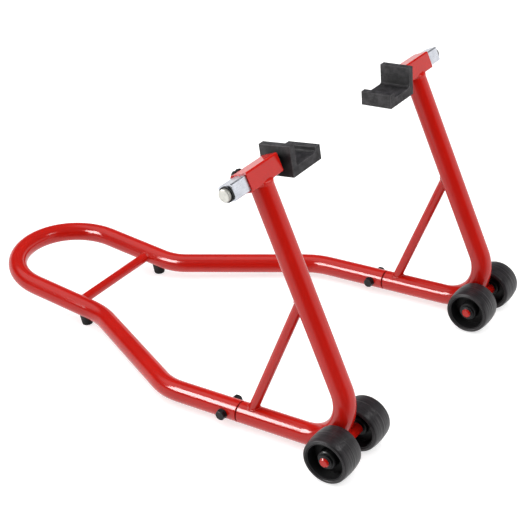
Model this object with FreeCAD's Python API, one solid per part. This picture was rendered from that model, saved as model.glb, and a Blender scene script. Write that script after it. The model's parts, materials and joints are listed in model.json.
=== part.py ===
import FreeCAD, Part
import math
import os

# Rear paddock stand for a motorcycle, in millimetres.
# +X runs from the handle to the wheels, +Y is the operator's left, +Z is up.
# The origin is the centre of the footprint, on the floor.

# Tubes
TUBE_D = 28.0
TUBE_WALL = 2.0
STRUT_D = 13.0
BRACE_D = 14.0
THIN_WALL = 1.5

# Handle tube: a half-round loop, two level-set arms that rise to it, and two splayed legs
LOOP_R = 85.5
LOOP_TIP_X = -360.2
ARM_TILT = 8.2
ARM_END_X = -138.7
ARM_END_Z = 22.4
SPLAY_END_X = 59.0
RAIL_Y = 187.0
RAIL_Z = 19.0
ARM_BEND_R = 85.0
RAIL_BEND_R = 85.0
SEAM_X = 176.0
SEAM_GAP = 1.8
TUBE_END_R = 0.6
BRACE_X = -183.3

# Side tubes: a bottom rail that turns up into an upright leaning towards the handle
CORNER_X = 353.4
CORNER_BEND_R = 58.0
UPRIGHT_LEAN = 20.6
UPRIGHT_INWARD = 0.8
STRUT_FOOT_X = 189.9
STRUT_TOP_RISE = 194.0

# Bolted joint between the handle tube and each side tube
SLEEVE_REACH = 45.0
SLEEVE_FIT = 0.1
BOLT_X = 157.0
BOLT_D = 8.0
BOLT_HOLE_PLAY = 0.4
BOLT_END = 2.0
HEX_FLATS = 12.0
BOLT_HEAD_H = 5.3
NUT_H = 6.5
WASHER_D = 14.0
WASHER_T = 1.6

# Heads, sliders and swivel shafts
HEAD_SIDE = 23.0
HEAD_WALL = 1.7
HEAD_CORNER = 2.2
HEAD_INNER_Y = 152.0
HEAD_OUTER_Y = 213.0
HEAD_RISE = 333.0
SLIDER_SIDE = 19.0
SLIDER_WALL = 2.0
SLIDER_CORNER = 2.0
BORE_CORNER = 0.8
SLIDER_INNER_Y = 150.0
SLIDER_OUTER_Y = 240.0
BUSH_FLANGE_D = 18.6
BUSH_FLANGE_T = 2.6
BUSH_PLUG = 14.0
SHAFT_D = 12.0
CAP_D = 15.0
CAP_T = 4.0
CAP_GAP = 0.4
CAP_ROOF = 1.2
SPIGOT_D = 8.0
RUNNING = 0.05

# Lock knobs, threaded into a nut welded on the handle side of each head
KNOB_OFFSET = 14.5
KNOB_D = 27.0
KNOB_GAP = 0.8
KNOB_H = 6.4
KNOB_LOBES = 8
KNOB_SCALLOP_D = 8.0
KNOB_RECESS_D = 18.0
KNOB_ROOF = 1.5
SCREW_TIP_GAP = 0.1
SCREW_HOLE_PLAY = 0.5
WELD_NUT_H = 3.6

# Rubber cradle pads
PAD_X = 42.0
PAD_OUTER_Y = 144.5
PAD_INNER_Y = 85.0
PAD_PLATE_T = 9.0
PAD_PLATE_H = 38.0
PAD_SHELF_T = 11.5
PAD_LIP_H = 18.5
PAD_LIP_T = 9.5
PAD_CORE_T = 3.0
PAD_CORE_MARGIN = 5.0
PAD_SKIN = 3.0
PAD_INSIDE_R = 3.0
RIGHT_PAD_TIP = 4.5
PAD_EDGE_R = 1.2

# Wheels and axles
WHEEL_D = 61.4
WHEEL_W = 36.5
AXLE_X = 329.5
AXLE_Y = 187.2
WHEEL_OFFSET = 34.8
AXLE_LAND_D = 14.0
AXLE_LAND_HALF = 24.0
AXLE_JOURNAL_D = 12.0
AXLE_HALF = 54.8
HUB_R = 25.0
HUB_WALL = 1.4
RIM_INSET = 1.4
BOSS_R = 12.0
BOSS_OUT = 15.0
BOSS_IN = 8.5
WHEEL_WASHER_T = 1.5
WHEEL_WASHER_D = 15.4
WHEEL_PLAY = 0.3
RETAINER_T = 1.2
RETAINER_D = 17.6
RETAINER_DISH = 0.8

# Feet under the handle arms
FOOT_X = -168.6
FOOT_TOP_D = 22.0
FOOT_BOTTOM_D = 15.5
FOOT_EDGE_R = 1.5
FOOT_SCREW_D = 5.0
FOOT_RECESS_D = 8.8
FOOT_RECESS_H = 4.5
FOOT_HEAD_D = 8.4
FOOT_HEAD_H = 2.8

X_AXIS = FreeCAD.Vector(1, 0, 0)
Y_AXIS = FreeCAD.Vector(0, 1, 0)
Z_AXIS = FreeCAD.Vector(0, 0, 1)


def vec(x, y, z):
    return FreeCAD.Vector(x, y, z)


def unit(v):
    return vec(v.x, v.y, v.z).normalize()


def mirrored(shape):
    """The same piece on the other side of the stand."""
    return shape.mirror(vec(0, 0, 0), Y_AXIS)


def bend(before, corner, after, radius):
    """Start, middle and end of the arc that rounds a corner of a tube's centre line."""
    back = unit(before - corner)
    ahead = unit(after - corner)
    half = back.getAngle(ahead) / 2
    reach = radius / math.tan(half)
    bisector = unit(back + ahead)
    centre = corner + bisector * (radius / math.sin(half))
    return corner + back * reach, centre - bisector * radius, corner + ahead * reach


def bent_line(points, radii):
    """Straight runs joined by tangent arcs through the listed corners."""
    edges = []
    start = points[0]
    for i, radius in enumerate(radii, 1):
        first, middle, last = bend(points[i - 1], points[i], points[i + 1], radius)
        edges.append(Part.LineSegment(start, first).toShape())
        edges.append(Part.Arc(first, middle, last).toShape())
        start = last
    edges.append(Part.LineSegment(start, points[-1]).toShape())
    return edges


def swept(edges, diameter):
    """A round bar along the given edges."""
    path = Part.Wire(edges)
    start = edges[0].valueAt(edges[0].FirstParameter)
    ahead = edges[0].tangentAt(edges[0].FirstParameter)
    section = Part.Wire(Part.makeCircle(diameter / 2, start, ahead))
    return path.makePipeShell([section], True, False)


def rod(diameter, start, end):
    along = end - start
    return Part.makeCylinder(diameter / 2, along.Length, start, along)


def ring(outer_d, inner_d, length, start, axis):
    outer = Part.makeCylinder(outer_d / 2, length, start, axis)
    return outer.cut(Part.makeCylinder(inner_d / 2, length, start, axis))


def turned(profile, centre, axis=Y_AXIS):
    """A body of revolution: profile points are (radius, station along the axis)."""
    points = [vec(r, 0, s) for r, s in profile]
    face = Part.Face(Part.makePolygon(points + points[:1]))
    body = face.revolve(vec(0, 0, 0), Z_AXIS, 360)
    body.Placement = FreeCAD.Placement(centre, FreeCAD.Rotation(Z_AXIS, axis))
    return body


def at_head(shape):
    """Lean a shape made about the origin with the upright and move it to the head's axis."""
    shape.rotate(vec(0, 0, 0), Y_AXIS, -UPRIGHT_LEAN)
    shape.translate(HEAD)
    return shape


def square_bar(side, corner, y_low, y_high):
    """A bar along Y with rounded corners, centred on the head's axis."""
    bar = Part.makeBox(side, y_high - y_low, side, vec(-side / 2, y_low, -side / 2))
    return at_head(bar.makeFillet(corner, [e for e in bar.Edges if abs(e.tangentAt(0).y) > 0.99]))


def hexagon(flats, height, centre, axis, bore=0.0):
    """A hexagonal head or nut with its corners chamfered at the far end."""
    corner_r = flats / math.sqrt(3)
    points = []
    for i in range(7):
        angle = math.radians(60 * i)
        points.append(vec(corner_r * math.cos(angle), corner_r * math.sin(angle), 0))
    body = Part.Face(Part.makePolygon(points)).extrude(vec(0, 0, height))
    bevel = 0.8
    cone = Part.makeCone(corner_r + height - bevel, flats / 2 - 0.1, height, vec(0, 0, 0))
    body = body.common(cone)
    if bore:
        body = body.cut(Part.makeCylinder(bore / 2, height))
    body.Placement = FreeCAD.Placement(centre, FreeCAD.Rotation(Z_AXIS, axis))
    return body


# Direction square to the leaning upright, out of its wheel side
LEAN = math.radians(UPRIGHT_LEAN)
FRONT_LEAN = vec(math.cos(LEAN), 0, math.sin(LEAN))
UPRIGHT_Y = RAIL_Y - HEAD_RISE * math.tan(math.radians(UPRIGHT_INWARD))
HEAD = vec(CORNER_X - HEAD_RISE * math.tan(LEAN), 0, RAIL_Z + HEAD_RISE)
AXLE_Z = WHEEL_D / 2


def handle_edges():
    """Centre line of the handle tube, from the left seam round the loop to the right seam."""
    end_x = SEAM_X - SEAM_GAP / 2
    tilt = math.radians(ARM_TILT)
    run = vec(-math.cos(tilt), 0, math.sin(tilt))
    tip_to_end = LOOP_R * math.cos(tilt) + TUBE_D / 2
    arm = (ARM_END_X - LOOP_TIP_X - tip_to_end) / math.cos(tilt)
    corner = vec(ARM_END_X, LOOP_R, ARM_END_Z)
    loop_start = corner + run * arm
    points = [vec(end_x, RAIL_Y, RAIL_Z), vec(SPLAY_END_X, RAIL_Y, RAIL_Z), corner, loop_start]
    left = bent_line(points, [RAIL_BEND_R, ARM_BEND_R])
    tip = vec(loop_start.x, 0, loop_start.z) + run * LOOP_R
    loop_end = vec(loop_start.x, -LOOP_R, loop_start.z)
    loop = Part.Arc(loop_start, tip, loop_end).toShape()
    flipped = [vec(p.x, -p.y, p.z) for p in reversed(points)]
    right = bent_line(flipped, [ARM_BEND_R, RAIL_BEND_R])
    return left + [loop] + right


def side_edges():
    """Centre line of the left side tube, from the seam round the corner and up to the head."""
    end = vec(SEAM_X + SEAM_GAP / 2, RAIL_Y, RAIL_Z)
    corner = vec(CORNER_X, RAIL_Y, RAIL_Z)
    top = vec(HEAD.x, UPRIGHT_Y, HEAD.z)
    return bent_line([end, corner, top], [CORNER_BEND_R])


def arm_height(x):
    """Height of an arm's centre line at the given place."""
    return ARM_END_Z + (ARM_END_X - x) * math.tan(math.radians(ARM_TILT))


def round_seam_end(tube, end_x):
    """Break the outer edge of a tube's end at the seam."""
    rims = []
    for edge in tube.Edges:
        box = edge.BoundBox
        if abs(box.XMin - end_x) < 0.01 and abs(box.XMax - end_x) < 0.01 and box.ZLength > TUBE_D - 0.1:
            rims.append(edge)
    return tube.makeFillet(TUBE_END_R, rims)


def bolt_holes():
    reach = RAIL_Y + TUBE_D
    return rod(BOLT_D + BOLT_HOLE_PLAY, vec(BOLT_X, -reach, RAIL_Z), vec(BOLT_X, reach, RAIL_Z))


def foot_screw_hole(side):
    x_y = vec(FOOT_X, side * LOOP_R, 0)
    return Part.makeCylinder(FOOT_SCREW_D / 2, arm_height(FOOT_X), x_y, Z_AXIS)


def handle_tube(outer):
    tube = outer.cut(swept(handle_edges(), TUBE_D - 2 * TUBE_WALL))
    tube = round_seam_end(tube, SEAM_X - SEAM_GAP / 2)
    tube = tube.cut(bolt_holes())
    for side in (1, -1):
        tube = tube.cut(foot_screw_hole(side))
    return tube


def cross_brace(handle_solid):
    z = arm_height(BRACE_X)
    outer = rod(BRACE_D, vec(BRACE_X, -LOOP_R, z), vec(BRACE_X, LOOP_R, z))
    bore = rod(BRACE_D - 2 * THIN_WALL, vec(BRACE_X, -LOOP_R, z), vec(BRACE_X, LOOP_R, z))
    return outer.cut(bore).cut(handle_solid)


def side_tube(outer):
    """Bent tube, cut flat under the head and notched at the back of its bend for the axle."""
    tube = outer.cut(swept(side_edges(), TUBE_D - 2 * TUBE_WALL))
    tube = round_seam_end(tube, SEAM_X + SEAM_GAP / 2)
    above = Part.makeBox(2 * TUBE_D, HEAD_OUTER_Y, TUBE_D, vec(-TUBE_D, 0, -HEAD_SIDE / 2))
    return tube.cut(at_head(above)).cut(axle())


def strut(side_solid):
    """Round brace from just past the seam up to the middle of the upright."""
    foot = vec(STRUT_FOOT_X, RAIL_Y, RAIL_Z)
    share = STRUT_TOP_RISE / HEAD_RISE
    top_x = CORNER_X - STRUT_TOP_RISE * math.tan(LEAN)
    top_y = RAIL_Y + (UPRIGHT_Y - RAIL_Y) * share
    top = vec(top_x, top_y, RAIL_Z + STRUT_TOP_RISE)
    body = rod(STRUT_D, foot, top).cut(rod(STRUT_D - 2 * THIN_WALL, foot, top))
    return body.cut(side_solid)


def joint_sleeve():
    """Inner sleeve that carries the seam between handle tube and side tube."""
    outer_d = TUBE_D - 2 * TUBE_WALL - 2 * SLEEVE_FIT
    start = vec(SEAM_X - SLEEVE_REACH, RAIL_Y, RAIL_Z)
    sleeve = ring(outer_d, outer_d - 2 * TUBE_WALL, 2 * SLEEVE_REACH, start, X_AXIS)
    return sleeve.cut(bolt_holes())


def joint_bolts():
    """Both through bolts, put in from the right."""
    bolts = []
    for side in (1, -1):
        seat = side * RAIL_Y - TUBE_D / 2 - WASHER_T
        head = hexagon(HEX_FLATS, BOLT_HEAD_H, vec(BOLT_X, seat, RAIL_Z), Y_AXIS * -1)
        end = side * RAIL_Y + TUBE_D / 2 + WASHER_T + NUT_H + BOLT_END
        bolts.append(head.fuse(rod(BOLT_D, vec(BOLT_X, seat, RAIL_Z), vec(BOLT_X, end, RAIL_Z))))
    return Part.makeCompound(bolts)


def joint_nuts():
    nuts = []
    for side in (1, -1):
        seat = vec(BOLT_X, side * RAIL_Y + TUBE_D / 2 + WASHER_T, RAIL_Z)
        nuts.append(hexagon(HEX_FLATS, NUT_H, seat, Y_AXIS, BOLT_D))
    return Part.makeCompound(nuts)


def joint_washers():
    washers = []
    for side in (1, -1):
        for face in (1, -1):
            low = side * RAIL_Y + face * (TUBE_D + WASHER_T) / 2 - WASHER_T / 2
            washers.append(ring(WASHER_D, BOLT_D, WASHER_T, vec(BOLT_X, low, RAIL_Z), Y_AXIS))
    return Part.makeCompound(washers)


def lock_place(side):
    """Where a lock screw's axis meets the head's axis: towards the right end of either head."""
    return HEAD + vec(0, side * (HEAD_INNER_Y + HEAD_OUTER_Y) / 2 - KNOB_OFFSET, 0)


def head_tube(side):
    """Square tube across the top of an upright, open at both ends."""
    outer = square_bar(HEAD_SIDE, HEAD_CORNER, HEAD_INNER_Y, HEAD_OUTER_Y)
    bore_corner = HEAD_CORNER - HEAD_WALL + 0.5
    bore = square_bar(HEAD_SIDE - 2 * HEAD_WALL, bore_corner, HEAD_INNER_Y, HEAD_OUTER_Y)
    tube = outer.cut(bore)
    if side < 0:
        tube = mirrored(tube)
    start = lock_place(side)
    return tube.cut(rod(BOLT_D + SCREW_HOLE_PLAY, start, start - FRONT_LEAN * HEAD_SIDE))


def weld_nut(side):
    seat = lock_place(side) - FRONT_LEAN * (HEAD_SIDE / 2)
    return hexagon(HEX_FLATS, WELD_NUT_H, seat, FRONT_LEAN * -1, BOLT_D + 2 * RUNNING)


def slider():
    """Square sliding arm inside the left head."""
    bore_side = SLIDER_SIDE - 2 * SLIDER_WALL
    outer = square_bar(SLIDER_SIDE, SLIDER_CORNER, SLIDER_INNER_Y, SLIDER_OUTER_Y)
    return outer.cut(square_bar(bore_side, BORE_CORNER, SLIDER_INNER_Y, SLIDER_OUTER_Y))


def end_bush(face_y, outward):
    """Plastic bush pressed into one end of the slider; its flange covers the end."""
    plug_side = SLIDER_SIDE - 2 * SLIDER_WALL
    low = min(face_y, face_y - outward * BUSH_PLUG)
    plug = square_bar(plug_side, BORE_CORNER, low, low + BUSH_PLUG)
    start = HEAD + vec(0, face_y, 0)
    flange = rod(BUSH_FLANGE_D, start, start + Y_AXIS * (outward * BUSH_FLANGE_T))
    bore_start = start - Y_AXIS * (outward * BUSH_PLUG)
    bore = rod(SHAFT_D + 2 * RUNNING, bore_start, start + Y_AXIS * (outward * BUSH_FLANGE_T))
    return plug.fuse(flange).cut(bore).removeSplitter()


def slider_bushes():
    outer = end_bush(SLIDER_OUTER_Y, 1)
    inner = end_bush(SLIDER_INNER_Y, -1)
    return Part.makeCompound([outer, inner])


def swivel_shaft():
    """Round shaft through the slider, from the pad's steel core to the end cap."""
    shoulder_y = SLIDER_OUTER_Y + BUSH_FLANGE_T + CAP_GAP
    body = rod(SHAFT_D, HEAD + vec(0, PAD_OUTER_Y - PAD_SKIN, 0), HEAD + vec(0, shoulder_y, 0))
    spigot = rod(SPIGOT_D, HEAD + vec(0, shoulder_y, 0), HEAD + vec(0, shoulder_y + CAP_T - CAP_ROOF, 0))
    return body.fuse(spigot)


def end_cap():
    """Round cap pressed on the shaft's spigot; it keeps the shaft in the slider."""
    y = SLIDER_OUTER_Y + BUSH_FLANGE_T + CAP_GAP
    r = CAP_D / 2
    blind = CAP_T - CAP_ROOF
    profile = [(SPIGOT_D / 2, 0), (r, 0), (r, CAP_T - 0.8), (r - 0.8, CAP_T), (0, CAP_T), (0, blind)]
    profile.append((SPIGOT_D / 2, blind))
    return turned(profile, HEAD + vec(0, y, 0))


def pad_outline():
    """Cradle profile in Y and Z: tall plate outside, level shelf, low lip inside."""
    bottom = HEAD.z - PAD_PLATE_H / 2
    plate_in = PAD_OUTER_Y - PAD_PLATE_T
    shelf_top = bottom + PAD_SHELF_T
    return [
        (PAD_OUTER_Y, bottom),
        (PAD_OUTER_Y, bottom + PAD_PLATE_H),
        (plate_in, bottom + PAD_PLATE_H),
        (plate_in, shelf_top),
        (PAD_INNER_Y + PAD_LIP_T, shelf_top),
        (PAD_INNER_Y + PAD_LIP_T, bottom + PAD_LIP_H),
        (PAD_INNER_Y, bottom + PAD_LIP_H),
        (PAD_INNER_Y, bottom),
    ]


def prism_x(outline, width):
    """An outline in Y and Z given a width along X, centred on the head."""
    points = [vec(HEAD.x - width / 2, y, z) for y, z in outline]
    return Part.Face(Part.makePolygon(points + points[:1])).extrude(vec(width, 0, 0))


def pad_placed(shape, side):
    """A left cradle piece put on its side; the right cradle has swivelled, wheel end up."""
    if side > 0:
        return shape
    shape = mirrored(shape)
    shape.rotate(HEAD, Y_AXIS, -RIGHT_PAD_TIP)
    return shape


def core_block():
    """Steel angle that the rubber is moulded round."""
    bottom = HEAD.z - PAD_PLATE_H / 2
    mid = bottom + PAD_SHELF_T / 2
    face = PAD_OUTER_Y - PAD_SKIN
    outline = [
        (face, mid - PAD_CORE_T / 2),
        (face, bottom + PAD_PLATE_H - PAD_CORE_MARGIN),
        (face - PAD_CORE_T, bottom + PAD_PLATE_H - PAD_CORE_MARGIN),
        (face - PAD_CORE_T, mid + PAD_CORE_T / 2),
        (PAD_INNER_Y + PAD_LIP_T / 2, mid + PAD_CORE_T / 2),
        (PAD_INNER_Y + PAD_LIP_T / 2, mid - PAD_CORE_T / 2),
    ]
    return prism_x(outline, PAD_X - 2 * PAD_CORE_MARGIN)


def pad_core(side):
    """The steel angle; its upright leg is welded to the swivel shaft."""
    return pad_placed(core_block(), side)


def same_edge(a, b):
    return a.CenterOfMass.distanceToPoint(b.CenterOfMass) < 0.01


def rubber_pad(side):
    """Moulded rubber: soft outer edges, rounder corners where the swingarm sits."""
    block = prism_x(pad_outline(), PAD_X)
    shelf_top = HEAD.z - PAD_PLATE_H / 2 + PAD_SHELF_T
    inside = []
    outside = []
    for edge in block.Edges:
        middle = edge.valueAt((edge.FirstParameter + edge.LastParameter) / 2)
        along_x = abs(edge.tangentAt(edge.FirstParameter).x) > 0.99
        if along_x and abs(middle.z - shelf_top) < 0.1:
            inside.append(edge)
        elif along_x or middle.z > HEAD.z + PAD_PLATE_H / 2 - 0.1:
            outside.append(edge)
    block = block.makeFillet(PAD_INSIDE_R, inside)
    edges = [e for e in block.Edges if any(same_edge(e, o) for o in outside)]
    block = block.makeFillet(PAD_EDGE_R, edges)
    return pad_placed(block.cut(core_block()).cut(swivel_shaft()), side)


def lock_screw(side):
    """Threaded stud of the lock knob; its tip bears on the slider."""
    start = lock_place(side) - FRONT_LEAN * (SLIDER_SIDE / 2 + SCREW_TIP_GAP)
    end = lock_place(side) - FRONT_LEAN * (HEAD_SIDE / 2 + KNOB_GAP + KNOB_H - KNOB_ROOF)
    return rod(BOLT_D, start, end)


def lock_knob(side):
    """Scalloped plastic knob, hollow underneath to clear the weld nut."""
    seat = lock_place(side) - FRONT_LEAN * (HEAD_SIDE / 2 + KNOB_GAP)
    back = FRONT_LEAN * -1
    r = KNOB_D / 2
    rim = [(0, 0), (r - 0.8, 0), (r, 0.8), (r, KNOB_H - 2.2), (r - 2.0, KNOB_H), (0, KNOB_H)]
    knob = turned(rim, vec(0, 0, 0), Z_AXIS)
    for i in range(KNOB_LOBES):
        angle = math.radians(360 * i / KNOB_LOBES)
        place = vec(math.cos(angle), math.sin(angle), 0) * (r + KNOB_SCALLOP_D / 4)
        knob = knob.cut(Part.makeCylinder(KNOB_SCALLOP_D / 2, KNOB_H, place, Z_AXIS))
    knob = knob.cut(Part.makeCylinder(KNOB_RECESS_D / 2, WELD_NUT_H, vec(0, 0, 0), Z_AXIS))
    knob = knob.cut(Part.makeCylinder(BOLT_D / 2, KNOB_H - KNOB_ROOF, vec(0, 0, 0), Z_AXIS))
    knob.Placement = FreeCAD.Placement(seat, FreeCAD.Rotation(Z_AXIS, back))
    return knob


def axle():
    """Turned axle through the left side tube's bend: a thick land and a journal each side."""
    land = AXLE_LAND_D / 2
    journal = AXLE_JOURNAL_D / 2
    profile = [
        (0, -AXLE_HALF),
        (journal - 1.5, -AXLE_HALF),
        (journal, -AXLE_HALF + 1.5),
        (journal, -AXLE_LAND_HALF),
        (land, -AXLE_LAND_HALF),
        (land, AXLE_LAND_HALF),
        (journal, AXLE_LAND_HALF),
        (journal, AXLE_HALF - 1.5),
        (journal - 1.5, AXLE_HALF),
        (0, AXLE_HALF),
    ]
    return turned(profile, vec(AXLE_X, AXLE_Y, AXLE_Z))


def wheel_place(outward):
    return vec(AXLE_X, AXLE_Y + outward * WHEEL_OFFSET, AXLE_Z)


def tyre(outward):
    """Solid rubber ring with a crowned tread and tight round shoulders."""
    r = WHEEL_D / 2
    half = WHEEL_W / 2
    low_shoulder = [vec(r - 3.4, 0, -half), vec(r - 2.1, 0, 0.5 - half), vec(r - 1.4, 0, 1.8 - half)]
    high_shoulder = [vec(p.x, 0, -p.z) for p in reversed(low_shoulder)]
    edges = [
        Part.LineSegment(vec(HUB_R, 0, -half + 0.8), low_shoulder[0]).toShape(),
        Part.Arc(*low_shoulder).toShape(),
        Part.Arc(low_shoulder[2], vec(r, 0, 0), high_shoulder[0]).toShape(),
        Part.Arc(*high_shoulder).toShape(),
        Part.LineSegment(high_shoulder[2], vec(HUB_R, 0, half - 0.8)).toShape(),
        Part.LineSegment(vec(HUB_R, 0, half - 0.8), vec(HUB_R, 0, -half + 0.8)).toShape(),
    ]
    body = Part.Face(Part.Wire(edges)).revolve(vec(0, 0, 0), Z_AXIS, 360)
    body.Placement = FreeCAD.Placement(wheel_place(outward), FreeCAD.Rotation(Z_AXIS, Y_AXIS))
    return body


def hub(outward):
    """Dished plastic hub: rim, thin web and a stepped boss, longer on the side away from the frame."""
    bore = AXLE_JOURNAL_D / 2 + RUNNING
    rim = WHEEL_W / 2 - RIM_INSET
    profile = [
        (bore, BOSS_OUT),
        (8.6, BOSS_OUT),
        (8.6, BOSS_OUT - 1.2),
        (BOSS_R - 1.0, BOSS_OUT - 1.2),
        (BOSS_R, BOSS_OUT - 2.4),
        (BOSS_R + 0.8, 4.0),
        (HUB_R - 3.4, 3.0),
        (HUB_R - HUB_WALL - 0.4, rim - 1.6),
        (HUB_R - HUB_WALL, rim),
        (HUB_R, rim),
        (HUB_R, -rim),
        (HUB_R - HUB_WALL, -rim),
        (HUB_R - HUB_WALL - 0.4, 1.6 - rim),
        (HUB_R - 3.4, -3.0),
        (BOSS_R, -4.0),
        (BOSS_R - 1.2, -BOSS_IN),
        (bore, -BOSS_IN),
    ]
    return turned(profile, wheel_place(outward), Y_AXIS * outward)


def wheel_washers():
    """Plain washers between each wheel and the land of its axle."""
    washers = []
    for side in (1, -1):
        for outward in (1, -1):
            near = AXLE_LAND_HALF if outward == 1 else -AXLE_LAND_HALF - WHEEL_WASHER_T
            start = vec(AXLE_X, side * AXLE_Y + near, AXLE_Z)
            washers.append(ring(WHEEL_WASHER_D, AXLE_JOURNAL_D, WHEEL_WASHER_T, start, Y_AXIS))
    return Part.makeCompound(washers)


def wheel_retainers():
    """Push-on retaining caps outside each wheel."""
    first = WHEEL_OFFSET + BOSS_OUT + WHEEL_PLAY
    journal = AXLE_JOURNAL_D / 2
    rim = RETAINER_D / 2
    flat = rim - 1.2
    profile = [(journal, RETAINER_DISH), (flat, 0), (rim, 0), (rim, RETAINER_T), (flat, RETAINER_T)]
    profile.append((journal, RETAINER_DISH + RETAINER_T))
    rings = []
    for side in (1, -1):
        for outward in (1, -1):
            place = vec(AXLE_X, side * AXLE_Y + outward * first, AXLE_Z)
            rings.append(turned(profile, place, Y_AXIS * outward))
    return Part.makeCompound(rings)


def foot(side, handle_solid):
    """Rubber foot under one arm, counterbored for its screw."""
    height = arm_height(FOOT_X)
    place = vec(FOOT_X, side * LOOP_R, 0)
    cone = Part.makeCone(FOOT_BOTTOM_D / 2, FOOT_TOP_D / 2, height, place, Z_AXIS)
    cone = cone.makeFillet(FOOT_EDGE_R, [e for e in cone.Edges if e.BoundBox.ZMax < 0.01])
    cone = cone.cut(handle_solid)
    cone = cone.cut(Part.makeCylinder(FOOT_SCREW_D / 2, height, place, Z_AXIS))
    return cone.cut(Part.makeCylinder(FOOT_RECESS_D / 2, FOOT_RECESS_H, place, Z_AXIS))


def foot_screws():
    screws = []
    for side in (1, -1):
        place = vec(FOOT_X, side * LOOP_R, FOOT_RECESS_H - FOOT_HEAD_H)
        tip = arm_height(FOOT_X) - TUBE_D / 4
        shank = Part.makeCylinder(FOOT_SCREW_D / 2, tip - place.z, place, Z_AXIS)
        head = Part.makeCylinder(FOOT_HEAD_D / 2, FOOT_HEAD_H, place, Z_AXIS)
        screws.append(head.fuse(shank).removeSplitter())
    return Part.makeCompound(screws)


def export_pair(name, shape):
    """Write a left piece and its mirror image on the right."""
    shape.exportStep(f"parts/left_{name}.step")
    mirrored(shape).exportStep(f"parts/right_{name}.step")


def main():
    os.makedirs("parts", exist_ok=True)
    handle_solid = swept(handle_edges(), TUBE_D)
    side_solid = swept(side_edges(), TUBE_D)
    handle_tube(handle_solid).exportStep("parts/handle_tube.step")
    cross_brace(handle_solid).exportStep("parts/handle_cross_brace.step")
    joint_bolts().exportStep("parts/joint_bolts.step")
    joint_nuts().exportStep("parts/joint_nuts.step")
    joint_washers().exportStep("parts/joint_washers.step")
    wheel_washers().exportStep("parts/wheel_washers.step")
    wheel_retainers().exportStep("parts/wheel_retainers.step")
    foot_screws().exportStep("parts/foot_screws.step")
    export_pair("side_tube", side_tube(side_solid))
    export_pair("strut", strut(side_solid))
    export_pair("joint_sleeve", joint_sleeve())
    export_pair("slider", slider())
    export_pair("slider_bushes", slider_bushes())
    export_pair("swivel_shaft", swivel_shaft())
    export_pair("shaft_cap", end_cap())
    export_pair("axle", axle())
    for place, outward in (("outer", 1), ("inner", -1)):
        export_pair(f"{place}_tyre", tyre(outward))
        export_pair(f"{place}_hub", hub(outward))
    for side, prefix in ((1, "left"), (-1, "right")):
        foot(side, handle_solid).exportStep(f"parts/{prefix}_foot.step")
        for make in (head_tube, weld_nut, lock_screw, lock_knob, pad_core, rubber_pad):
            make(side).exportStep(f"parts/{prefix}_{make.__name__}.step")


main()
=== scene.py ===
import json
import math

import bpy
import numpy
from mathutils import Matrix, Vector
from mathutils.bvhtree import BVHTree


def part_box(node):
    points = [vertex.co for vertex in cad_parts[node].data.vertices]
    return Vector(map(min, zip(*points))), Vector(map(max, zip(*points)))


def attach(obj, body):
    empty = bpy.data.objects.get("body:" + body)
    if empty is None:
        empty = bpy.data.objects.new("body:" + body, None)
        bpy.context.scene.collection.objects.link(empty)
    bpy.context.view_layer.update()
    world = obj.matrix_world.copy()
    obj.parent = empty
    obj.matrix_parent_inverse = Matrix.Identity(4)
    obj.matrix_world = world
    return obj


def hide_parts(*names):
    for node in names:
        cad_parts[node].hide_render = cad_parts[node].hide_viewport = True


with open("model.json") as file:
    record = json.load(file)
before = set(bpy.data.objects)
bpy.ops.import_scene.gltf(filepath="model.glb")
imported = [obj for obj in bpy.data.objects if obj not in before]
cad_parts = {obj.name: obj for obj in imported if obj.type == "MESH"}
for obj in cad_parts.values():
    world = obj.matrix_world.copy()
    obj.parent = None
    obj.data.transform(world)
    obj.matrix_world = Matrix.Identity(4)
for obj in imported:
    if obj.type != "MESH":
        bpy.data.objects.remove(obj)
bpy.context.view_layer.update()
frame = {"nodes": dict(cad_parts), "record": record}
NODES = frame["nodes"]
SIDES = ("left", "right")
MM = 0.001


# ---------------------------------------------------------------- places taken from the frame

def centre(node):
    low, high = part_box(node)
    return (low + high) / 2


# The wheels' axis, and measures of the welded tubes.
AXLE = centre("left_axle")
AXLE_LAND_R = 7.1 * MM
HEAD_HALF = 11.5 * MM
TUBE_R = 14.0 * MM
UPRIGHT_INWARD = math.tan(math.radians(0.8))

# Directions along a leaning upright and square to its front.
LEAN = math.radians(20.6)
UP_LEAN = Vector((-math.sin(LEAN), 0, math.cos(LEAN)))
FRONT_LEAN = Vector((math.cos(LEAN), 0, math.sin(LEAN)))

# Weld beads: their radii, how far apart their rings and ripples are, and how finely they are cut.
AXLE_BEAD = 1.7 * MM
STRUT_BEAD = 1.8 * MM
BRACE_BEAD = 1.4 * MM
BEAD_STEP = 0.45 * MM
RIPPLE_MM = 2.3
BEAD_SIDES = 10
BUTT_RAYS = 72
LAND_RAYS = 180
FILLET_TURNS = 216
FILLET_SPANS = 8

# The table and the wall round it, the world's dark and bright parts, and the key light.
STAGE_R = 5.5
WALL_HEIGHT = 8.0
STAGE_SIDES = 96
STAND_MIDDLE = (0.05, 0, 0.05)
KEY_PLACE = (-0.29, -0.65, 0.58)
DARK_SIDE = (0.70, -0.714, 0.0)
TOP_BOX_SIDE = (-0.40, -0.10, 0.911)
WORLD_LOW = 1.1
WORLD_HIGH = 0.06
WORLD_DARK = 0.02
TOP_BOX = 1.1

CAMERA_PLACE = (0.9602, -1.1934, 0.9066)
CAMERA_ANGLES = (35.91, 28.20, -4.86)
CAMERA_LENS = 84.0


# ---------------------------------------------------------------- material helpers

RANGE_SOCKETS = ("From Min", "From Max", "To Min", "To Max")


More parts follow.
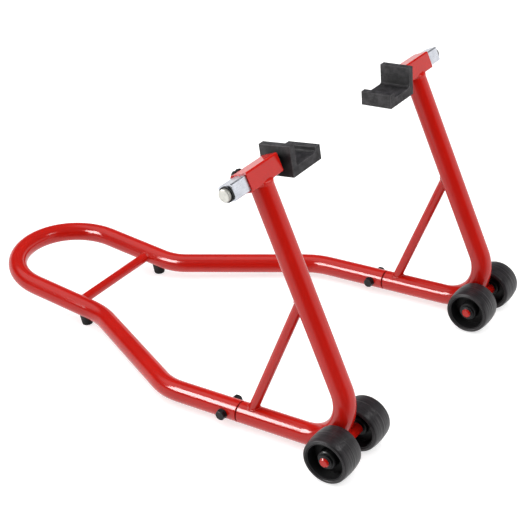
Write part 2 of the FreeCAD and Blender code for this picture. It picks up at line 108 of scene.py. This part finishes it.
class Graph:
    """A node material under construction."""

    def __init__(self, name):
        self.material = bpy.data.materials.new(name)
        self.material.use_nodes = True
        self.tree = self.material.node_tree
        self.tree.nodes.clear()
        self.out = self.tree.nodes.new("ShaderNodeOutputMaterial")
        self.bsdf = self.tree.nodes.new("ShaderNodeBsdfPrincipled")
        self.tree.links.new(self.bsdf.outputs[0], self.out.inputs["Surface"])
        self.coords = self.tree.nodes.new("ShaderNodeTexCoord").outputs["Object"]

    def set(self, **values):
        for name, value in values.items():
            self.bsdf.inputs[name.replace("_", " ")].default_value = value

    def link(self, value, name):
        self.tree.links.new(value, self.bsdf.inputs[name])

    def put(self, socket, value):
        if isinstance(value, bpy.types.NodeSocket):
            self.tree.links.new(value, socket)
        else:
            socket.default_value = value

    def math(self, kind, a, b=0.0, clamp=False):
        node = self.tree.nodes.new("ShaderNodeMath")
        node.operation = kind
        node.use_clamp = clamp
        self.put(node.inputs[0], a)
        self.put(node.inputs[1], b)
        return node.outputs[0]

    def stretched(self, scale, vector=None):
        """Coordinates multiplied axis by axis."""
        node = self.tree.nodes.new("ShaderNodeVectorMath")
        node.operation = "MULTIPLY"
        self.put(node.inputs[0], vector or self.coords)
        node.inputs[1].default_value = scale
        return node.outputs[0]

    def noise(self, scale, detail=2.0, vector=None, roughness=0.5):
        node = self.tree.nodes.new("ShaderNodeTexNoise")
        self.put(node.inputs["Vector"], vector or self.coords)
        node.inputs["Scale"].default_value = scale
        node.inputs["Detail"].default_value = detail
        node.inputs["Roughness"].default_value = roughness
        return node.outputs["Fac"]

    def ramp(self, value, low, high, out_low=0.0, out_high=1.0):
        """Value between low and high carried to out_low and out_high, and held beyond."""
        node = self.tree.nodes.new("ShaderNodeMapRange")
        self.put(node.inputs["Value"], value)
        for name, number in zip(RANGE_SOCKETS, (low, high, out_low, out_high)):
            node.inputs[name].default_value = number
        return node.outputs["Result"]

    def mix(self, factor, a, b):
        node = self.tree.nodes.new("ShaderNodeMix")
        node.data_type = "RGBA"
        self.put(node.inputs["Factor"], factor)
        self.put(node.inputs["A"], (*a, 1) if isinstance(a, tuple) else a)
        self.put(node.inputs["B"], (*b, 1) if isinstance(b, tuple) else b)
        return node.outputs["Result"]

    def edge(self, radius):
        """Near 1 on sharp edges, 0 on flats: how far a rounded normal leaves the true one."""
        bevel = self.tree.nodes.new("ShaderNodeBevel")
        bevel.samples = 4
        bevel.inputs["Radius"].default_value = radius
        true = self.tree.nodes.new("ShaderNodeNewGeometry").outputs["Normal"]
        dot = self.tree.nodes.new("ShaderNodeVectorMath")
        dot.operation = "DOT_PRODUCT"
        self.tree.links.new(bevel.outputs[0], dot.inputs[0])
        self.tree.links.new(true, dot.inputs[1])
        return self.ramp(dot.outputs["Value"], 0.995, 0.85)

    def recess_shade_mask(self, distance):
        """Near 1 deep in a recess, 0 on open faces: the mask for shade painted into recesses, also used
        for roughness.
        """
        node = self.tree.nodes.new("ShaderNodeAmbientOcclusion")
        node.samples = 8
        node.inputs["Distance"].default_value = distance
        return self.ramp(node.outputs["AO"], 0.90, 0.50)

    def bump(self, *layers):
        """Each layer is (height, strength, distance)."""
        normal = None
        for height, strength, distance in layers:
            node = self.tree.nodes.new("ShaderNodeBump")
            node.inputs["Strength"].default_value = strength
            node.inputs["Distance"].default_value = distance
            self.tree.links.new(height, node.inputs["Height"])
            if normal:
                self.tree.links.new(normal, node.inputs["Normal"])
            normal = node.outputs["Normal"]
        self.link(normal, "Normal")

    def around_axle(self, along, around, outward):
        """Coordinates that wrap round the wheels' shared axis."""
        split = self.tree.nodes.new("ShaderNodeSeparateXYZ")
        self.tree.links.new(self.coords, split.inputs[0])
        x = self.math("SUBTRACT", split.outputs[0], AXLE.x)
        z = self.math("SUBTRACT", split.outputs[2], AXLE.z)
        turn = self.math("ARCTAN2", z, x)
        squares = self.math("ADD", self.math("MULTIPLY", x, x), self.math("MULTIPLY", z, z))
        radius = self.math("SQRT", squares)
        join = self.tree.nodes.new("ShaderNodeCombineXYZ")
        self.put(join.inputs[0], self.math("MULTIPLY", split.outputs[1], along))
        self.put(join.inputs[1], self.math("MULTIPLY", turn, around))
        self.put(join.inputs[2], self.math("MULTIPLY", radius, outward))
        return join.outputs[0]


# ---------------------------------------------------------------- materials

def red_powder_coat():
    """Gloss powder coat: orange peel, thin bright edges, faint cloudiness and a little dust."""
    g = Graph("red_powder_coat")
    cloud = g.noise(9, 3)
    body = g.mix(g.ramp(cloud, 0.35, 0.65), (0.375, 0.005, 0.0022), (0.42, 0.0075, 0.0038))
    worn = g.mix(g.math("MULTIPLY", g.edge(0.0006), 0.25), body, (0.50, 0.026, 0.018))
    dust = g.ramp(g.noise(1400, 1), 0.70, 0.78, 0.0, 0.22)
    g.link(g.mix(dust, worn, (0.44, 0.036, 0.028)), "Base Color")
    g.link(g.ramp(g.noise(26, 4), 0.3, 0.7, 0.30, 0.44), "Roughness")
    g.set(IOR=1.45, Specular_IOR_Level=0.0, Coat_Weight=0.9, Coat_Roughness=0.145, Coat_IOR=1.5)
    g.bump((g.noise(330, 2), 0.15, 0.0006), (g.noise(75, 2), 0.08, 0.0020))
    return g.material


def zinc_plate():
    """Bright zinc on drawn tube: fine draw lines along Y, cloudy patches, paler edges."""
    g = Graph("zinc_plate")
    lines = g.noise(1, 3, g.stretched((1500, 40, 1500)))
    cloud = g.noise(120, 3)
    tone = g.mix(g.ramp(cloud, 0.3, 0.7), (0.60, 0.62, 0.68), (0.76, 0.78, 0.84))
    g.link(g.mix(g.math("MULTIPLY", g.edge(0.0005), 0.6), tone, (0.90, 0.91, 0.93)), "Base Color")
    g.link(g.ramp(lines, 0.3, 0.7, 0.24, 0.42), "Roughness")
    g.set(Metallic=0.9, Anisotropic=0.35)
    g.bump((lines, 0.10, 0.0003), (cloud, 0.05, 0.0006))
    return g.material


def cap_metal():
    """Turned nickel-coloured cap: concentric tool marks, dull face."""
    g = Graph("cap_metal")
    fine = g.noise(700, 2)
    g.link(g.mix(g.ramp(g.noise(180, 3), 0.3, 0.7), (0.48, 0.475, 0.44), (0.62, 0.61, 0.57)), "Base Color")
    g.link(g.ramp(fine, 0.3, 0.7, 0.34, 0.50), "Roughness")
    g.set(Metallic=0.75)
    g.bump((fine, 0.12, 0.0003))
    return g.material


def bare_steel():
    """Plain machined steel with light oil staining."""
    g = Graph("bare_steel")
    lines = g.noise(1, 2, g.stretched((300, 2600, 300)))
    stain = g.ramp(g.noise(90, 3), 0.35, 0.7)
    g.link(g.mix(stain, (0.42, 0.42, 0.43), (0.28, 0.27, 0.26)), "Base Color")
    g.link(g.ramp(lines, 0.3, 0.7, 0.28, 0.48), "Roughness")
    g.set(Metallic=1.0)
    g.bump((lines, 0.15, 0.0003))
    return g.material


def black_steel():
    """Black-oxide fasteners with rubbed corners."""
    g = Graph("black_steel")
    grain = g.noise(900, 2)
    base = g.mix(g.ramp(g.noise(200, 2), 0.3, 0.7), (0.006, 0.006, 0.007), (0.015, 0.0145, 0.016))
    g.link(g.mix(g.math("MULTIPLY", g.edge(0.0005), 0.5), base, (0.12, 0.12, 0.125)), "Base Color")
    g.link(g.ramp(grain, 0.3, 0.7, 0.34, 0.52), "Roughness")
    g.set(Metallic=0.5)
    g.bump((grain, 0.15, 0.0003))
    return g.material


def black_plastic():
    """Moulded satin plastic with a fine spark texture, rougher in its recesses, where painted shade also
    darkens it.
    """
    g = Graph("black_plastic")
    grain = g.noise(1800, 2)
    base = g.mix(g.ramp(g.noise(80, 2), 0.3, 0.7), (0.004, 0.004, 0.0045), (0.008, 0.008, 0.009))
    recess_shade_mask = g.recess_shade_mask(0.012)
    worn = g.mix(g.math("MULTIPLY", g.edge(0.0007), 0.6), base, (0.060, 0.058, 0.062))
    # Painted shade: the base colour goes near black deep in recesses.
    g.link(g.mix(recess_shade_mask, worn, (0.002, 0.0018, 0.002)), "Base Color")
    grainy = g.ramp(grain, 0.3, 0.7, 0.30, 0.46)
    g.link(g.math("ADD", grainy, g.math("MULTIPLY", recess_shade_mask, 0.3)), "Roughness")
    g.set(Specular_IOR_Level=0.32)
    g.bump((grain, 0.12, 0.0002))
    return g.material


def pad_rubber():
    """Matt moulded rubber: dusty bloom, pale scuffed edges, fine dimples, rougher in its recesses and
    darkened there by painted shade.
    """
    g = Graph("pad_rubber")
    dimples = g.noise(900, 3)
    bloom = g.ramp(g.noise(110, 4, roughness=0.6), 0.40, 0.64)
    base = g.mix(bloom, (0.0085, 0.008, 0.0095), (0.032, 0.030, 0.033))
    recess_shade_mask = g.recess_shade_mask(0.030)
    worn = g.mix(g.math("MULTIPLY", g.edge(0.0012), 0.6), base, (0.100, 0.097, 0.100))
    # Painted shade: the base colour goes near black deep in the channel and other recesses.
    g.link(g.mix(recess_shade_mask, worn, (0.003, 0.0027, 0.003)), "Base Color")
    dimpled = g.ramp(dimples, 0.3, 0.7, 0.50, 0.72)
    g.link(g.math("ADD", dimpled, g.math("MULTIPLY", recess_shade_mask, 0.2)), "Roughness")
    g.set(Specular_IOR_Level=0.32)
    g.bump((dimples, 0.25, 0.0004), (g.noise(160, 3), 0.12, 0.0008))
    return g.material


def tyre_rubber():
    """Satin moulded tyre: fine grooves and scuffs that run round the wheel, and a paler shoulder."""
    g = Graph("tyre_rubber")
    rings = g.noise(1, 3, g.around_axle(1500, 4, 1500))
    scuff = g.ramp(g.noise(1, 3, g.around_axle(260, 2.5, 260)), 0.42, 0.72)
    grooves = g.noise(1, 1, g.around_axle(430, 0.6, 430))
    base = g.mix(scuff, (0.009, 0.0072, 0.0090), (0.019, 0.016, 0.0185))
    lined = g.mix(g.ramp(grooves, 0.40, 0.60, 0.45, 0.0), base, (0.002, 0.0018, 0.002))
    g.link(g.mix(g.math("MULTIPLY", g.edge(0.0010), 0.5), lined, (0.060, 0.056, 0.062)), "Base Color")
    g.link(g.ramp(rings, 0.3, 0.7, 0.34, 0.50), "Roughness")
    g.bump((grooves, 0.55, 0.0010), (rings, 0.16, 0.0003), (g.noise(240, 3), 0.08, 0.0006))
    return g.material


MAKERS = (red_powder_coat, zinc_plate, cap_metal, bare_steel,
          black_steel, black_plastic, pad_rubber, tyre_rubber)
MATERIALS = {make.__name__: make() for make in MAKERS}
for part in frame["record"]["subparts"]:
    slots = NODES[part["node"]].data.materials
    slots.clear()
    slots.append(MATERIALS[part["material_slot"]])


# ---------------------------------------------------------------- geometry helpers

def add_piece(name, mesh, material, body):
    """Put a mesh in the scene as a piece that rides on a body."""
    obj = bpy.data.objects.new(name, mesh)
    bpy.context.scene.collection.objects.link(obj)
    mesh.materials.append(MATERIALS[material])
    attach(obj, body)
    return obj


def grid_mesh(name, rows, close_rows=True, close_ring=True):
    """A smooth quad mesh through rows of points, closed round both ways unless told otherwise."""
    mesh = bpy.data.meshes.new(name)
    width = len(rows[0])
    points = [p for row in rows for p in row]
    faces = []
    for i in range(len(rows) if close_rows else len(rows) - 1):
        for j in range(width if close_ring else width - 1):
            a = i * width + j
            b = i * width + (j + 1) % width
            k = (i + 1) % len(rows) * width
            faces.append((a, b, k + (j + 1) % width, k + j))
    mesh.from_pydata([tuple(p) for p in points], [], faces)
    for face in mesh.polygons:
        face.use_smooth = True
    mesh.validate()
    return mesh


def even(line, step):
    """A closed line's points spread evenly along it."""
    closed = line + line[:1]
    runs = [(b - a).length for a, b in zip(closed, closed[1:])]
    count = max(12, round(sum(runs) / step))
    points = []
    i = 0
    passed = 0.0
    for k in range(count):
        want = sum(runs) * k / count
        while passed + runs[i] < want:
            passed += runs[i]
            i += 1
        points.append(closed[i].lerp(closed[i + 1], (want - passed) / max(runs[i], 1e-9)))
    return points


# ---------------------------------------------------------------- weld beads

def skin(node):
    """A node's surface, ready for rays."""
    mesh = NODES[node].data
    return BVHTree.FromPolygons([v.co for v in mesh.vertices], [p.vertices for p in mesh.polygons])


def round_bar(node):
    """Middle, direction, two directions across and radius of a straight round tube."""
    mesh = NODES[node].data
    spread = numpy.zeros((3, 3))
    for face in mesh.polygons:
        spread += face.area * numpy.outer(face.normal, face.normal)
    _, axes = numpy.linalg.eigh(spread)
    along, one, two = (Vector(axes[:, i]).normalized() for i in range(3))
    spans = []
    for axis in (along, one, two):
        reach = [v.co.dot(axis) for v in mesh.vertices]
        spans.append((min(reach), max(reach)))
    middle = sum((axis * (sum(span) / 2) for axis, span in zip((along, one, two), spans)), Vector())
    return middle, along, one, two, (spans[1][1] - spans[1][0]) / 2


def butt_line(node, other, heading):
    """Where a round tube's skin runs into another tube."""
    middle, along, one, two, radius = round_bar(node)
    tree = skin(other)
    line = []
    for i in range(BUTT_RAYS):
        turn = math.tau * i / BUTT_RAYS
        start = middle + (one * math.cos(turn) + two * math.sin(turn)) * radius
        line.append(tree.ray_cast(start, along * heading)[0])
    return [p for p in line if p]


def head_weld(side):
    """Fillet round the top of an upright: out under the head, and over the tube's rim onto its faces."""
    foot = centre(f"{side}_head_tube") - UP_LEAN * HEAD_HALF
    inward = Vector((0, -math.copysign(UPRIGHT_INWARD, foot.y), 0))
    leg = TUBE_R + 1.8 * MM
    face = HEAD_HALF - 0.15 * MM
    rows = []
    for i in range(FILLET_TURNS):
        turn = math.tau * i / FILLET_TURNS
        out = math.cos(turn)
        span = math.sin(turn)
        share = min(1.0, max(0.0, (abs(out) - 0.60) / 0.27))
        over = share * share * (3 - 2 * share)
        ripple = (0.40 * abs(math.sin(18 * turn)) + 0.18 * math.sin(7 * turn)) * MM
        skin_r = TUBE_R - 0.15 * MM
        knee_r = TUBE_R + (0.1 + 1.0 * over) * MM + ripple
        low = Vector((skin_r * out, skin_r * span, (-2.6 - 1.2 * over) * MM))
        knee = Vector((knee_r * out, knee_r * span, (-0.4 + 1.6 * over) * MM))
        high = Vector((math.copysign(min(leg * abs(out), face), out), leg * span,
                       0.5 * MM + max(0.0, leg * abs(out) - face) * 0.7))
        row = []
        for k in range(FILLET_SPANS + 1):
            t = k / FILLET_SPANS
            front, across, height = low * (1 - t) ** 2 + knee * (2 * t * (1 - t)) + high * t * t
            spine = foot + UP_LEAN * height - inward * height
            row.append(spine + FRONT_LEAN * front + Vector((0, across, 0)))
        rows.append(row)
    name = f"{side}_head_weld"
    add_piece(name, grid_mesh(name, rows, close_ring=False), "red_powder_coat", "stand_frame")


def axle_lines(side):
    """Where an axle's land leaves the skin of its side tube: one line, or one on each side."""
    tree = skin(f"{side}_side_tube")
    axle = centre(f"{side}_axle")
    reach = 30 * MM
    sweeps = []
    for way in (1, -1):
        hits = []
        for i in range(LAND_RAYS):
            turn = math.tau * i / LAND_RAYS
            offset = (AXLE_LAND_R * math.cos(turn), way * reach, AXLE_LAND_R * math.sin(turn))
            start = axle + Vector(offset)
            hits.append(tree.ray_cast(start, Vector((0, -way, 0)), reach)[0])
        sweeps.append(hits)
    if all(all(hits) for hits in sweeps):
        return sweeps
    first = next(i for i in range(LAND_RAYS) if sweeps[0][i] and not sweeps[0][i - 1])
    near, far = ([h for h in hits[first:] + hits[:first] if h] for hits in sweeps)
    return [near + far[::-1]]


def weld_bead(name, line, radius):
    """A bead of overlapping ripples along a closed line."""
    spots = even(line, BEAD_STEP)
    count = len(spots)
    middle = sum(spots, Vector()) / count
    ripples = round(count * BEAD_STEP / MM / RIPPLE_MM)
    rows = []
    for i, spot in enumerate(spots):
        ahead = (spots[(i + 1) % count] - spots[i - 1]).normalized()
        outward = spot - middle
        outward = (outward - ahead * outward.dot(ahead)).normalized()
        across = ahead.cross(outward)
        beat = abs(math.sin(math.pi * i * ripples / count))
        drift = 0.06 * math.sin(7 * math.tau * i / count) + 0.04 * math.sin(3 * math.tau * i / count + 1)
        size = radius * (0.86 + 0.16 * beat + drift)
        ring = [math.tau * k / BEAD_SIDES for k in range(BEAD_SIDES)]
        rows.append([spot + (outward * math.cos(turn) + across * math.sin(turn)) * size for turn in ring])
    add_piece(name, grid_mesh(name, rows), "red_powder_coat", "stand_frame")


def welds():
    """Every weld of the frame: heads, axles, and both ends of the struts and of the brace."""
    for side in SIDES:
        head_weld(side)
        for k, line in enumerate(axle_lines(side)):
            weld_bead(f"{side}_axle_weld_{k}", line, AXLE_BEAD)
        for k, heading in enumerate((1, -1)):
            line = butt_line(f"{side}_strut", f"{side}_side_tube", heading)
            weld_bead(f"{side}_strut_weld_{k}", line, STRUT_BEAD)
    for k, heading in enumerate((1, -1)):
        weld_bead(f"brace_weld_{k}", butt_line("handle_cross_brace", "handle_tube", heading), BRACE_BEAD)


# ---------------------------------------------------------------- tyres

def tyre_profile(half, outer, inner):
    """Half of a tyre's section, from inside edge to crown, as (radius, distance from the middle)."""
    section = [
        (inner - 0.1 * MM, half - 1.3 * MM),
        (inner + 0.2 * MM, half - 0.5 * MM),
        (inner + 0.7 * MM, half - 0.1 * MM),
        (inner + 1.2 * MM, half - 0.1 * MM),
        (inner + 1.4 * MM, half - 0.45 * MM),
        (outer - 3.5 * MM, half - 0.45 * MM),
        (outer - 3.2 * MM, half - 0.05 * MM),
        (outer - 2.6 * MM, half - 0.1 * MM),
        (outer - 2.1 * MM, half - 0.5 * MM),
        (outer - 1.75 * MM, half - 1.1 * MM),
    ]
    shoulder = half - 2.0 * MM
    for k in range(8):
        share = 1 - k / 8
        radius = outer - 0.12 * MM - 1.3 * MM * share ** 2.2
        section.append((radius, shoulder * share + 0.3 * MM * (1 - share)))
    section.append((outer - 0.10 * MM, 0.3 * MM))
    section.append((outer, 0.1 * MM))
    return section


def tyres():
    """A turned tread for each wheel, in the place of its plain tyre."""
    steps = 144
    for side in SIDES:
        for place in ("outer", "inner"):
            node = f"{side}_{place}_tyre"
            low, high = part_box(node)
            middle = (low + high) / 2
            hub_low, hub_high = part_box(f"{side}_{place}_hub")
            hub_r = (hub_high.z - hub_low.z) / 2
            section = tyre_profile((high.y - low.y) / 2, (high.z - low.z) / 2, hub_r)
            section = [(r, -s) for r, s in section] + [(r, s) for r, s in reversed(section)]
            rows = []
            for i in range(steps):
                turn = math.tau * i / steps
                out = math.cos(turn)
                up = math.sin(turn)
                rows.append([middle + Vector((r * out, s, r * up)) for r, s in section])
            piece = add_piece(f"{side}_{place}_tread", grid_mesh(node + "_mesh", rows), "tyre_rubber",
                              f"{side}_{place}_wheel")
            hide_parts(node)


# ---------------------------------------------------------------- stage

def stage():
    """A round table with a glow of its own, inside a white wall that only the camera sees."""
    turns = [math.tau * i / STAGE_SIDES for i in range(STAGE_SIDES)]
    rim = [(STAGE_R * math.cos(turn), STAGE_R * math.sin(turn)) for turn in turns]
    disc = bpy.data.meshes.new("floor")
    disc.from_pydata([(x, y, 0) for x, y in rim], [], [tuple(range(STAGE_SIDES))])
    rows = [[Vector((x, y, z)) for x, y in rim] for z in (0.0, WALL_HEIGHT)]
    wall = grid_mesh("backdrop", rows, close_rows=False)
    for mesh, shade, glow in ((disc, 0.50, 0.65), (wall, 0.0, 1.05)):
        paint = Graph(mesh.name + "_paint")
        paint.link(paint.mix(paint.noise(3, 2), (shade,) * 3, (shade * 1.04,) * 3), "Base Color")
        paint.set(Roughness=0.8, Specular_IOR_Level=0.2)
        paint.set(Emission_Color=(1, 1, 1, 1), Emission_Strength=glow)
        mesh.materials.append(paint.material)
        obj = bpy.data.objects.new(mesh.name, mesh)
        bpy.context.scene.collection.objects.link(obj)
        obj.visible_glossy = False
        obj.visible_diffuse = mesh is disc
        obj.visible_shadow = mesh is disc


def area_light(name, place, target, size, radiance, glossy=True, diffuse=True):
    """A softbox of the given radiance, hidden from the camera."""
    light = bpy.data.lights.new(name, "AREA")
    light.shape = "RECTANGLE"
    light.size, light.size_y = size
    light.energy = radiance * math.pi * size[0] * size[1]
    obj = bpy.data.objects.new(name, light)
    obj.location = place
    obj.rotation_euler = (Vector(target) - Vector(place)).to_track_quat("-Z", "Y").to_euler()
    obj.visible_camera = False
    obj.visible_glossy = glossy
    obj.visible_diffuse = diffuse
    bpy.context.scene.collection.objects.link(obj)


def studio_world():
    """White near the horizon, dark on the photographer's side, with one softbox in a dim ceiling."""
    world = bpy.data.worlds.new("studio")
    bpy.context.scene.world = world
    world.use_nodes = True
    tree = world.node_tree
    background = tree.nodes["Background"]

    def node(kind, **values):
        made = tree.nodes.new(kind)
        for key, value in values.items():
            setattr(made, key, value)
        return made

    def held_range(value, low, high, out_low, out_high):
        made = node("ShaderNodeMapRange", interpolation_type="SMOOTHSTEP")
        tree.links.new(value, made.inputs["Value"])
        for key, number in zip(RANGE_SOCKETS, (low, high, out_low, out_high)):
            made.inputs[key].default_value = number
        return made.outputs["Result"]

    def joined(operation, a, b):
        made = node("ShaderNodeMath", operation=operation)
        tree.links.new(a, made.inputs[0])
        tree.links.new(b, made.inputs[1])
        return made.outputs[0]

    def towards(side):
        made = node("ShaderNodeVectorMath", operation="DOT_PRODUCT")
        tree.links.new(direction, made.inputs[0])
        made.inputs[1].default_value = side
        return made.outputs["Value"]

    direction = tree.nodes.new("ShaderNodeTexCoord").outputs["Generated"]
    split = tree.nodes.new("ShaderNodeSeparateXYZ")
    tree.links.new(direction, split.inputs[0])
    height = held_range(split.outputs[2], 0.05, 0.35, WORLD_LOW, WORLD_HIGH)
    shade = held_range(towards(DARK_SIDE), 0.50, 0.92, 1.0, WORLD_DARK)
    top_box = held_range(towards(TOP_BOX_SIDE), 0.84, 0.95, 0.0, TOP_BOX)
    horizon = joined("MULTIPLY", height, shade)
    tree.links.new(joined("ADD", horizon, top_box), background.inputs["Strength"])
    background.inputs["Color"].default_value = (1, 1, 1, 1)


def lights():
    """A wide diffuse ceiling, a key seen only in reflections, its diffuse spill, and one to the right."""
    studio_world()
    area_light("overhead", (0, 0, 3.0), (0, 0, 0), (10.0, 10.0), 1.58, glossy=False)
    area_light("key", KEY_PLACE, STAND_MIDDLE, (0.41, 0.41), 22, diffuse=False)
    area_light("key_spill", KEY_PLACE, STAND_MIDDLE, (0.34, 0.34), 4, glossy=False)
    area_light("right", (0.95, 0.22, 0.88), (-0.2, 0, 0.05), (0.30, 0.30), 9)


def camera():
    """The photograph's view: place, azimuth, elevation and roll."""
    azimuth, elevation, roll = (math.radians(angle) for angle in CAMERA_ANGLES)
    back = Vector((math.sin(azimuth) * math.cos(elevation), -math.cos(azimuth) * math.cos(elevation),
                   math.sin(elevation)))
    right = Vector((math.cos(azimuth), math.sin(azimuth), 0))
    up = back.cross(right)
    level = math.cos(roll)
    tilt = math.sin(roll)
    right, up = (right * level + up * tilt, up * level - right * tilt)
    data = bpy.data.cameras.new("camera")
    data.sensor_width = 36
    data.lens = CAMERA_LENS
    obj = bpy.data.objects.new("camera", data)
    turn = Matrix((right, up, back)).transposed().to_4x4()
    obj.matrix_world = Matrix.Translation(CAMERA_PLACE) @ turn
    bpy.context.scene.collection.objects.link(obj)
    bpy.context.scene.camera = obj


welds()
tyres()
stage()
lights()
camera()
bpy.context.scene.view_settings.view_transform = "Standard"
